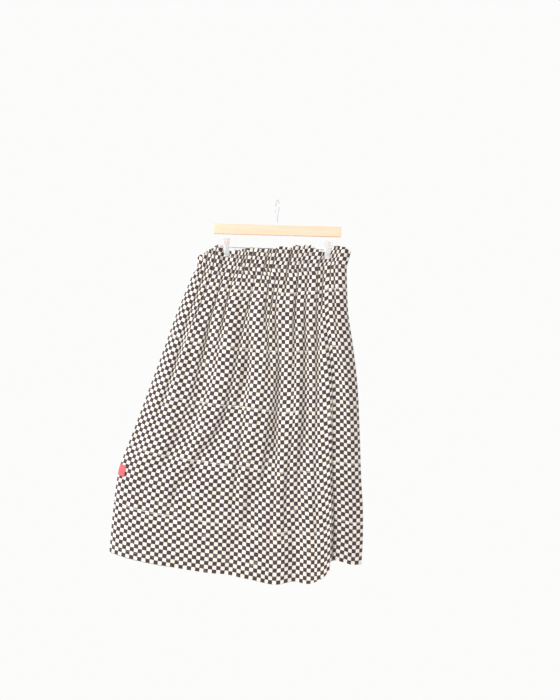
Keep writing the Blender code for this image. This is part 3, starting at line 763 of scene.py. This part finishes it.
# A panel of the skirt. Its wall grows inwards where the hem is turned up.
def makePanel(side):
    places = np.linspace(0, 1, gathers["count"] * gathers["columnsEach"] + 1)
    if side == "front":  # the columns crowd at the deep fold
        off = places - skirt["foldAt"]
        places = places - skirt["foldCrowd"] * off * np.exp(-((off / skirt["foldCrowdHalf"]) ** 2))
    hemFrom = 1 - skirt["hemDeep"]
    levels = np.linspace(0, hemFrom, skirt["panelRows"])
    levels = np.concatenate([levels, [hemFrom + skirt["hemStep"]], np.linspace(hemFrom, 1, 4)[1:]])
    points, folds = panelSurface(side, places, levels)
    normals = wallNormals(points, side)
    inHem = levels > hemFrom + skirt["hemStep"] / 2
    thickness = np.where(inHem, skirt["hemCloth"], skirt["cloth"])[:, None]
    points = points - normals * (thickness[:, :, None] - skirt["cloth"]) / 2
    points[:, [0, -1], 1] = outwards[side] * skirt["seamGap"]
    points[0, :, 2] -= skirt["seamGap"]
    below = lengthBelow(points)
    hidden = readTable(edges, "hidden", places) * (side == "front")
    squaresUp = hidden + below / below[0] * (readTable(edges, "squares", places) - hidden)
    squaresUp = squaresUp + cotton["starts"][side][1]
    uv = np.stack([squaresAlong(points, folds, side), squaresUp], axis=2)
    piece = closedWall(side + "Panel", points, normals, thickness, uv, checkedCotton)
    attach(piece, "root")
    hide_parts(side + "_panel")
    return {"piece": piece, "points": points, "normals": normals, "levels": levels}


# A heading: the panel's top, folded down and sewn twice, so its wall is double. Its squares run on
# up from the casing, and spread evenly over the valleys halfway up.
def makeHeading(side):
    places = np.linspace(0, 1, gathers["count"] * gathers["columnsEach"] + 1)
    levels = np.linspace(0, 1, skirt["headingRows"])
    points, folds = headingSurface(side, places, levels)
    normals = wallNormals(points, side)
    points[:, [0, -1], 1] = outwards[side] * skirt["seamGap"]
    points[-1, :, 2] += skirt["seamGap"]
    squaresUp = readTable(edges, "squares", places) + lengthBelow(points) / skirt["squareHigh"]
    squaresUp = squaresUp + cotton["starts"][side][1]
    atCasing = squaresAlong(points[-1:], folds[-1:], side)
    spread = runningMean(atCasing.T, gathers["columnsEach"]).T
    squaresOver = atCasing + gathers["evenAbove"] * np.sin(math.pi * levels)[:, None] * (spread - atCasing)
    uv = np.stack([squaresOver, squaresUp], axis=2)
    piece = closedWall(side + "Heading", points, normals, skirt["headingCloth"], uv, checkedCotton)
    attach(piece, "root")
    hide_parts("heading_" + side)
    return {"piece": piece, "points": points, "normals": normals}


panels = {side: makePanel(side) for side in ("front", "back")}
headings = {side: makeHeading(side) for side in ("front", "back")}
print("panels and headings are made")


thread = {
    "colour": (0.80, 0.74, 0.64, 1),
    "darker": (0.70, 0.62, 0.52, 1),
    "pitch": 3.0,  # mm from stitch to stitch, along the cloth
    "length": 2.2,
    "radius": 0.28,
    "lift": 0.08,  # mm above the cloth's outside
    "reading": 0.6,  # mm further on, where the cloth's direction is read
    "rings": (-82, -45, 0, 45, 82),  # degrees
    "corners": 6,
    "hemAbove": 22,  # mm from the hem's edge to its stitches
    "casingAbove": 1.2,
}

label = {
    "colour": (0.61, 0.105, 0.122, 1),
    "darker": (0.53, 0.07, 0.085, 1),
    "width": 30,  # mm, along the cloth
    "height": 37,
    "thick": 1.2,
    "top": 0.683,  # down the panel
    "turned": 13,  # degrees
    "lift": 0.5,
    "curl": 1.6,  # mm that its free edge stands off
    "curlAbove": 0.4,  # the share of that at its upper end
    "ripple": 0.25,
    "follows": 0.35,  # how closely it follows the cloth's own folds
    "aslant": 3.0,  # mm that its lower end lies further in
    "drops": 0.35,  # the share of its turn that its free edge drops by
    "ribsPerMm": 1.1,
}


# Thread: fine plies twisted round a stitch show as slanting bumps.
def makeThread(look):
    make = NodeMaker("ecruThread")
    twist = make.node("TexWave", {"Vector": make.place(), "Scale": 900, "Distortion": 0.5})
    tone = make.mix(make.noise(make.place(), 60), look["colour"], look["darker"])
    return make.finish(Base_Color=tone, Roughness=0.7, Normal=make.bump(twist, 0.3, 0.0002))


# Which of a panel's rows lies at a share of the way down it, with a fraction between two.
def rowAt(panel, down):
    return np.interp(down, panel["levels"], np.arange(len(panel["levels"])))


# A row of stitches on a row of the cloth: a small capsule, repeated at even lengths along it. Its
# rings lie at sin(angle) of half a stitch, with radii of cos(angle)^0.6.
def stitchRow(cloth, row, half):
    columns = np.arange(cloth["points"].shape[1])
    points = readGrid(cloth["points"], np.full(len(columns), row), columns)
    normals = readGrid(cloth["normals"], np.full(len(columns), row), columns)
    along = runningLength(points)
    at = np.arange(thread["pitch"], along[-1] - thread["pitch"], thread["pitch"])
    middle, ahead, out = [
        np.stack([np.interp(place, along, values[:, k]) for k in range(3)], axis=1)
        for place, values in ((at, points), (at + thread["reading"], points), (at, normals))
    ]
    out = unit(out)
    run = unit(ahead - middle)
    aside = np.cross(out, run)
    middle = middle + out * (half + thread["lift"])
    turns = np.radians(np.arange(0, 360, 360 / thread["corners"]))
    slopes = np.radians(thread["rings"])[:, None]
    radius = thread["radius"] * np.cos(slopes) ** 0.6
    length = np.sin(slopes) * thread["length"] / 2 * np.ones(len(turns))
    shape = np.stack([length, radius * np.cos(turns), radius * np.sin(turns)], axis=2)
    rings = np.einsum("ijk,skx->sijx", shape, np.stack([run, out, aside], axis=1))
    return middle[:, None, None, :] + rings


# All stitches of a side in one piece: the hem's row, and the two rows that hold the casing.
def makeStitches(side, material):
    panel, top = panels[side], headings[side]
    hemRow = rowAt(panel, 1 - thread["hemAbove"] / skirt["height"])
    upperRow = heading["upperStitches"] * (skirt["headingRows"] - 1)
    lowerRow = (1 - thread["casingAbove"] / heading["height"]) * (skirt["headingRows"] - 1)
    hemHalf, topHalf = skirt["hemCloth"] / 2, skirt["headingCloth"] / 2
    rows = [(panel, hemRow, hemHalf), (top, upperRow, topHalf), (top, lowerRow, topHalf)]
    solids = np.concatenate([stitchRow(*row) for row in rows])
    starts = solids[0, :, :, 0].size * np.arange(len(solids))[:, None, None]
    faces = [(some + starts).reshape(-1, some.shape[1]) for some in ringFaces(solids[0])]
    piece = newPiece(side + "Stitches", solids, faces, material)
    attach(piece, "root")


# Woven tape: ribs across it and a little wear.
def makeTape(look):
    make = NodeMaker("redWovenTape")
    uv = make.node("UVMap", uv_map="cloth")
    ribs = make.math("SINE", make.math("MULTIPLY", make.parts(uv)[1], look["ribsPerMm"] * 2 * math.pi))
    grains = make.noise(uv, 1.4, 3.0)
    tone = make.math("MULTIPLY_ADD", ribs, 0.18, make.ramp(grains, 0.3, 0.7, (0, 0.6)))
    colour = make.mix(tone, look["colour"], look["darker"])
    bump = make.bump(make.math("MULTIPLY_ADD", ribs, 0.5, grains), 0.35, 0.0004)
    return make.finish(Base_Color=colour, Roughness=0.62, Sheen_Weight=0.25, Normal=bump)


# Label: a small grid turned on the cloth, laid on its outside; its free edge curls off.
def makeLabel(material):
    panel = panels["front"]
    s, t = np.meshgrid(np.linspace(0, 1, 21), np.linspace(0, 1, 27))
    turn = math.radians(label["turned"])
    inwards = s * label["width"] * math.cos(turn) + label["aslant"] * t
    down = t * label["height"] * math.cos(turn) + s * label["width"] * math.sin(turn) * label["drops"]
    rows = rowAt(panel, label["top"] + down / skirt["height"])
    along = runningLength(panel["points"][int(rows.mean())])
    columns = np.interp(inwards, along, np.arange(len(along)))
    surface = readGrid(panel["points"], rows, columns)
    normals = readGrid(panel["normals"], rows, columns)
    smooth = unit(normals.mean(axis=(0, 1)) + label["follows"] * normals)
    curl = label["curl"] * s**3 * (label["curlAbove"] + (1 - label["curlAbove"]) * t)
    lift = skirt["cloth"] / 2 + label["lift"] + label["thick"] / 2 + curl
    lift = lift + label["ripple"] * np.sin(5 * s + 4 * t)
    surface = surface + smooth * lift[:, :, None]
    uv = np.stack([s * label["width"], t * label["height"]], axis=2)
    piece = closedWall("sideLabel", surface, smooth, label["thick"], uv, material)
    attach(piece, "root")
    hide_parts("side_label")


ecruThread = makeThread(thread)
for side in ("front", "back"):
    makeStitches(side, ecruThread)
makeLabel(makeTape(label))
print("stitches and label are made")


bar = {
    "length": 383,  # mm
    "thick": 12,
    "height": 31,
    "middleX": 1,
    "top": -74,  # mm, with the hook's rest at 0
    "corner": 2.6,
    "sections": 57,  # along it, between its rounded ends
    "uneven": 0.18,  # mm, how unevenly it is planed
    "wood": (0.87, 0.620, 0.455, 1),
    # the grain colour, also used for the painted shade along the bar's lower edge
    "grainAndShade": (0.78, 0.500, 0.310, 1),
    "lineStretch": (3.0, 60.0, 60.0),  # how fine the growth lines are, along, through and up
    "poreStretch": (25.0, 900.0, 900.0),
    "lineBends": 30,
    "lineShare": 0.34,  # of the grain's colour
    "poreShare": 0.3,
    "roughness": 0.48,
}

wires = {
    "hookWire": 3.4,  # mm thick
    "hookInside": 40,  # mm across
    "hookStart": 228,  # degrees round, from the neck to the tip
    "hookEnd": -38,
    "hookTwist": 15,  # degrees about its shank
    "shankUp": 6,  # mm that it stands straight out of the bar
    "shankIn": 20,  # mm that it goes into the bar
    "neckPulls": (13, 11),  # mm, how far the ends of the neck's curve hold their directions
    "rodWire": 3.2,  # mm thick
    "rodSpan": 330,  # from leg to leg
    "rodDrop": 39,  # from the bar's underside
    "rodBend": 8,  # the radius of its corners
    "rodLegIn": 12,  # mm that its legs go into the bar
    "steel": (0.70, 0.72, 0.77, 1),
    "scuffed": (0.50, 0.50, 0.52, 1),
}


# A tube along a path: rings of points round it, turned by the path's direction and one steady
# direction, with rounded ends.
def makeTube(name, path, steady, radius, material):
    steady = np.asarray(steady, float)
    run = unit(np.gradient(path, axis=0))
    caps = np.radians([80, 50, 20])
    start = path[0] - run[0] * radius * np.sin(caps)[:, None]
    end = path[-1] + run[-1] * radius * np.sin(caps[::-1])[:, None]
    path = np.concatenate([start, path, end])
    run = np.concatenate([run[:1].repeat(3, 0), run, run[-1:].repeat(3, 0)])
    radii = np.concatenate([np.cos(caps), np.ones(len(path) - 6), np.cos(caps[::-1])]) * radius
    turns = np.radians(np.arange(0, 360, 15))[:, None]
    first = unit(steady - run * (run @ steady)[:, None])
    rings = first[:, None] * np.cos(turns) + np.cross(run, first)[:, None] * np.sin(turns)
    points = path[:, None] + rings * radii[:, None, None]
    return newPiece(name, points, ringFaces(points), material, sharpFrom=60)


# An arc: its centre plus its radius times the cosine and sine of even angles.
def arcPoints(centre, radius, start, end, steps):
    angles = np.radians(np.linspace(start, end, steps + 1))
    return np.stack([centre[0] + radius * np.cos(angles), centre[1] + radius * np.sin(angles)], axis=1)


# Hook: up out of the bar, a cubic curve into the crook, then over and down behind.
def makeHook(material):
    radius = (wires["hookInside"] + wires["hookWire"]) / 2
    crook = arcPoints((0, wires["hookWire"] / 2 - radius), radius, wires["hookStart"], wires["hookEnd"], 90)
    start = np.array([0, bar["top"] + wires["shankUp"]])
    turn = math.radians(wires["hookStart"])
    pullUp = start + (0, wires["neckPulls"][0])
    pullIn = crook[0] + np.array([-math.sin(turn), math.cos(turn)]) * wires["neckPulls"][1]
    t = np.linspace(0, 1, 25)[:-1, None]
    neck = (1 - t) ** 3 * start + 3 * t * (1 - t) ** 2 * pullUp
    neck = neck + 3 * t**2 * (1 - t) * pullIn + t**3 * crook[0]
    profile = np.concatenate([[(0, bar["top"] - wires["shankIn"])], neck, crook])
    twist = math.radians(wires["hookTwist"])
    run = np.array([-math.sin(twist), math.cos(twist), 0])
    path = profile[:, :1] * run + profile[:, 1:] * (0, 0, 1)
    aside = (math.cos(twist), math.sin(twist), 0)
    piece = makeTube("hangerHook", path, aside, wires["hookWire"] / 2, material)
    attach(piece, "root")
    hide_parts("hanger_hook")


# Rod: down out of the bar, along under it and up again, with a bend at each corner.
def makeRod(material):
    half, bend = wires["rodSpan"] / 2, wires["rodBend"]
    low = bar["top"] - bar["height"] - wires["rodDrop"]
    top = bar["top"] - bar["height"] + wires["rodLegIn"]
    leftBend = arcPoints((-half + bend, low + bend), bend, 180, 270, 12)
    rightBend = arcPoints((half - bend, low + bend), bend, 270, 360, 12)
    profile = np.concatenate([[(-half, top)], leftBend, rightBend, [(half, top)]])
    path = np.stack([bar["middleX"] + profile[:, 0], 0 * profile[:, 0], profile[:, 1]], axis=1)
    piece = makeTube("hangerRod", path, (0, 1, 0), wires["rodWire"] / 2, material)
    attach(piece, "root")
    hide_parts("hanger_rod")


# Bar: a rounded rectangle carried along its length, smaller in the last few sections so that the
# ends are rounded too.
def makeBar(material):
    corner = bar["corner"]
    turns = np.concatenate([np.radians(np.linspace(0, 90, 7) + quarter) for quarter in (0, 90, 180, 270)])
    signs = np.repeat([(1, 1), (-1, 1), (-1, -1), (1, -1)], 7, axis=0)
    ends = np.radians(np.linspace(6, 88, 7))
    inner = np.linspace(-bar["length"] / 2 + 2 * corner, bar["length"] / 2 - 2 * corner, bar["sections"])
    radii = corner * np.concatenate([np.sin(ends), np.ones(len(inner)), np.sin(ends[::-1])])[:, None]
    ahead = bar["length"] / 2 - corner * (1 - np.cos(ends))
    x = np.concatenate([-ahead, inner, ahead[::-1]]) + bar["middleX"]
    y = signs[:, 0] * (bar["thick"] / 2 - corner) + radii * np.cos(turns)
    z = signs[:, 1] * (bar["height"] / 2 - corner) + radii * np.sin(turns)
    z = z + bar["uneven"] * smoothNoise(x[:, None] / 34 + 9, turns[None] * 2.2, 5)
    z = z + bar["top"] - bar["height"] / 2
    points = np.stack([np.broadcast_to(x[:, None], y.shape), y, z], axis=2)
    piece = newPiece("hangerBar", points, ringFaces(points), material, sharpFrom=60)
    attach(piece, "root")
    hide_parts("hanger_bar")


# Pine: growth lines are stretched noise along the bar, with fine pores, under a thin varnish; painted shade
# darkens its lowest 3 mm towards the grain colour.
def makeWood(look):
    make = NodeMaker("palePine")
    long = make.vector("MULTIPLY", make.place(), look["lineStretch"])
    bend = make.math("MULTIPLY", make.noise(long, 1.1, 3.0), look["lineBends"])
    lines = make.math("SINE", make.math("MULTIPLY_ADD", make.parts(long)[2], 3.2, bend))
    fine = make.noise(make.vector("MULTIPLY", make.place(), look["poreStretch"]), 1.0, 3.0)
    pores = make.ramp(fine, 0.4, 0.75, (0, look["poreShare"]))
    tone = make.math("MULTIPLY_ADD", make.ramp(lines, -0.2, 1.0), look["lineShare"], pores)
    # painted shade: the bar's lower edge, darkened over its lowest 3 mm
    paintedShadeEdge = (bar["top"] - bar["height"]) * mm
    tone = make.math("ADD", tone, make.ramp(make.parts(make.place())[2], paintedShadeEdge + 0.003, paintedShadeEdge))
    colour = make.mix(tone, look["wood"], look["grainAndShade"])
    height = make.math("MULTIPLY_ADD", lines, 0.2, fine)
    return make.finish(
        Base_Color=colour,
        Roughness=make.ramp(fine, 0.3, 0.7, (look["roughness"] - 0.06, look["roughness"] + 0.12)),
        Coat_Weight=0.15,
        Coat_Roughness=0.35,
        Normal=make.bump(height, 0.12, 0.0004),
    )


# Plated steel: drawn lines and a few dull spots, and higher up a tint, where one is given.
def makeSteel(name, colour, roughness, tint=None, tintFrom=None):
    make = NodeMaker(name)
    spots = make.ramp(make.noise(make.place(), 90, 4.0), 0.5, 0.72, (0, 0.6))
    drawn = make.noise(make.vector("MULTIPLY", make.place(), (500.0, 900.0, 160.0)), 1.0, 2.0)
    base = make.mix(spots, colour, wires["scuffed"])
    if tint is not None:
        base = make.mix(make.ramp(make.parts(make.place())[2], *tintFrom), base, tint)
    dull = make.ramp(drawn, 0.3, 0.7, (roughness - 0.06, roughness + 0.10))
    return make.finish(Base_Color=base, Metallic=1.0, Roughness=dull, Normal=make.bump(drawn, 0.05, 0.0002))


brightWire = makeSteel("brightWire", wires["steel"], 0.26)
makeHook(brightWire)
makeRod(brightWire)
makeBar(makeWood(bar))
print("bar, hook and rod are made")


clip = {
    "at": {"left": -148.5, "right": 153.5},  # mm along x
    "width": 17,
    "plate": 1.0,  # mm thick
    "crown": 0.5,  # mm that a plate's face is domed
    "rib": 0.45,
    "coilLength": 11,
    "coilRadius": 2.65,
    "coilWire": 1.2,
    "coilTurns": 7,
    "legs": 13,  # mm, how far the coil's ends run up inside the plates
    "steel": {"left": (0.72, 0.70, 0.71, 1), "right": (0.86, 0.83, 0.84, 1)},
    "tint": {"left": (0.84, 0.75, 0.70, 1), "right": (0.90, 0.85, 0.85, 1)},
    "tintFrom": (-0.146, -0.136),  # m, the heights between which the tint sets in
    "ribRuns": (121, 136),  # mm below the hook's rest
    "ribFades": 3,  # mm
    "ribHalf": 0.16,  # as a share of half the plate's width
    "faceTo": 0.84,  # across, from where the face no longer gets wider
    "lipFrom": 0.80,  # across, from where the sides turn in
    "lipIn": 0.5,  # mm that the lips lean in
    "legLean": 0.15,  # how much the coil's ends lean outwards, to their rise
    "stepsPerTurn": 28,
}

# A plate from the side, by the distance below the hook's rest: how far its inner face stands off
# the middle, how deep its lips turn in, and how much narrower it is.
plateShape = columnsOf(
    "below  inner  lip  narrow",
    (118.0, 7.6, 0.6, 1.6),
    (119.5, 7.4, 0.9, 0.4),
    (122.0, 7.1, 1.1, 0.0),
    (127.0, 6.4, 1.2, 0.0),
    (135.0, 4.5, 1.6, 0.0),
    (139.0, 3.9, 3.0, 0.0),
    (144.0, 3.6, 3.2, 0.0),
    (148.0, 4.0, 2.4, 0.0),
    (153.0, 4.7, 1.2, 0.0),
    (158.0, 5.4, 0.9, 0.0),
    (166.0, 4.3, 0.6, 0.0),
    (169.0, 4.0, 0.5, 0.3),
    (172.0, 4.6, 0.3, 1.2),
)


# A pressed plate: across, its face is slightly domed and its sides turn in as lips; up and down it
# follows the table.
def makePlate(side, face, material):
    s, below = np.meshgrid(np.linspace(-1, 1, 33), np.linspace(*plateShape["below"][[0, -1]], 61))
    half = (clip["width"] - clip["plate"]) / 2 - readTable(plateShape, "narrow", below)
    turned = softStep(np.abs(s), clip["lipFrom"], 1)
    x = half * np.clip(s / clip["faceTo"], -1, 1) - np.sign(s) * clip["lipIn"] * turned**2
    runs = softStep(below - clip["ribRuns"][0], 0, clip["ribFades"])
    runs = runs * softStep(clip["ribRuns"][1] - below, 0, clip["ribFades"])
    rib = clip["rib"] * np.exp(-((s / clip["ribHalf"]) ** 2)) * runs
    stand = readTable(plateShape, "inner", below) + clip["plate"] / 2 + clip["crown"] * (1 - s**2) + rib
    y = outwards[face] * (stand - readTable(plateShape, "lip", below) * turned)
    points = np.stack([x + clip["at"][side], y, -below], axis=2)
    normals = unit(np.cross(np.gradient(points, axis=0), np.gradient(points, axis=1)))
    uv = np.stack([s, below], axis=2)
    piece = closedWall(f"{side}Clip{face.title()}", points, normals, clip["plate"], uv, material)
    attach(piece, "root")
    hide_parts(f"clip_{side}_{face}")


# Spring: a wire down inside the front plate, a helix round the rod, and up inside the back plate.
def makeSpring(side, material):
    low = bar["top"] - bar["height"] - wires["rodDrop"]
    turns = np.linspace(0, 1, clip["coilTurns"] * clip["stepsPerTurn"] + 1)
    angles = math.pi * (1 + (2 * clip["coilTurns"] - 1) * turns)
    radius = clip["coilRadius"]
    x = (turns - 0.5) * (clip["coilLength"] - clip["coilWire"])
    coil = np.stack([x, radius * np.cos(angles), radius * np.sin(angles)], axis=1)
    leg = np.linspace(0, clip["legs"], 12)[1:, None] * (0, clip["legLean"], 1)
    path = np.concatenate([(coil[0] + leg * (1, -1, 1))[::-1], coil, coil[-1] + leg])
    path = path + (clip["at"][side], 0, low)
    piece = makeTube(f"{side}ClipSpring", path, (1, 0, 0), clip["coilWire"] / 2, material)
    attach(piece, "root")
    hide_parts(f"clip_{side}_spring")


for side in ("left", "right"):
    plated = makeSteel(side + "ClipSteel", clip["steel"][side], 0.30, clip["tint"][side], clip["tintFrom"])
    for face in ("front", "back"):
        makePlate(side, face, plated)
    makeSpring(side, brightWire)
print("clips are made")


room = {
    "floorHeight": -2600,  # mm
    "floorHalf": 2700,
    "floorPale": (0.97, 0.97, 0.97, 1),
    "floorShade": (0.95, 0.95, 0.95, 1),
    "behind": 0.975,  # how bright the room is behind the skirt
    "before": 0.97,
    "fromLeft": 0.14,  # how much brighter the left is than the middle
    "turns": (-0.1, 0.6),  # between these directions along y, before gives way to behind
    "colour": (1, 0.997, 0.993, 1),
}

lights = {
    "leftWindow": {"place": (-2.4, -2.2, 0.6), "aim": (0, 0, -0.6), "size": 1.6, "power": 72},
    "backFill": {"place": (0.6, 2.8, 0.6), "aim": (0, 0, -0.6), "size": 2.2, "power": 24},
}

camera = {
    "lens": 50,
    "sensor": 36,  # mm
    "distance": 2.92,  # m
    "middle": (0.0189, -0.4482),  # x and z that the middle of the picture shows
    "roll": -1.5,  # degrees
}


# A pale floor below the skirt, and a pale room round it that is brightest behind it.
def makeRoom():
    make = NodeMaker("paleFloor")
    tone = make.ramp(make.noise(make.place(), 3.0), 0.3, 0.7)
    material = make.finish(Base_Color=make.mix(tone, room["floorPale"], room["floorShade"]), Roughness=0.9)
    reach = np.linspace(-room["floorHalf"], room["floorHalf"], 9)
    s, t = np.meshgrid(reach, reach)
    points = np.stack([s, t, np.full_like(s, room["floorHeight"])], axis=2)
    faces = [gridFaces(np.arange(s.size).reshape(s.shape))[:, ::-1]]
    newPiece("floor", points, faces, material, closed=False)
    make = NodeMaker("paleRoom", "worlds")
    direction = make.parts(make.node("TexCoord"))
    before = make.math("MULTIPLY_ADD", direction[0], -room["fromLeft"], room["before"])
    strength = make.ramp(direction[1], *room["turns"], (before, room["behind"]))
    world = make.finish("Background", Color=room["colour"], Strength=strength)
    bpy.context.scene.world = world


# Round lamps, each turned towards what it lights.
def makeLights():
    for name, its in lights.items():
        data = bpy.data.lights.new(name, "AREA")
        data.shape = "DISK"
        data.size = its["size"]
        data.energy = its["power"]
        lamp = bpy.data.objects.new(name, data)
        bpy.context.scene.collection.objects.link(lamp)
        lamp.location = its["place"]
        lamp.rotation_mode = "QUATERNION"
        lamp.rotation_quaternion = (Vector(its["aim"]) - Vector(its["place"])).to_track_quat("-Z", "Y")


# A camera that looks level along y, and is rolled about that line.
def makeCamera():
    data = bpy.data.cameras.new("photoCamera")
    data.lens = camera["lens"]
    data.sensor_width = camera["sensor"]
    held = bpy.data.objects.new("photoCamera", data)
    bpy.context.scene.collection.objects.link(held)
    x, z = camera["middle"]
    place = Matrix.Translation((x, -camera["distance"], z))
    roll = Matrix.Rotation(math.radians(camera["roll"]), 4, "Y")
    held.matrix_world = place @ roll @ Matrix.Rotation(math.radians(90), 4, "X")
    bpy.context.scene.camera = held


makeRoom()
makeLights()
makeCamera()
bpy.context.scene.view_settings.view_transform = "Standard"
print("room, lights and camera are set")
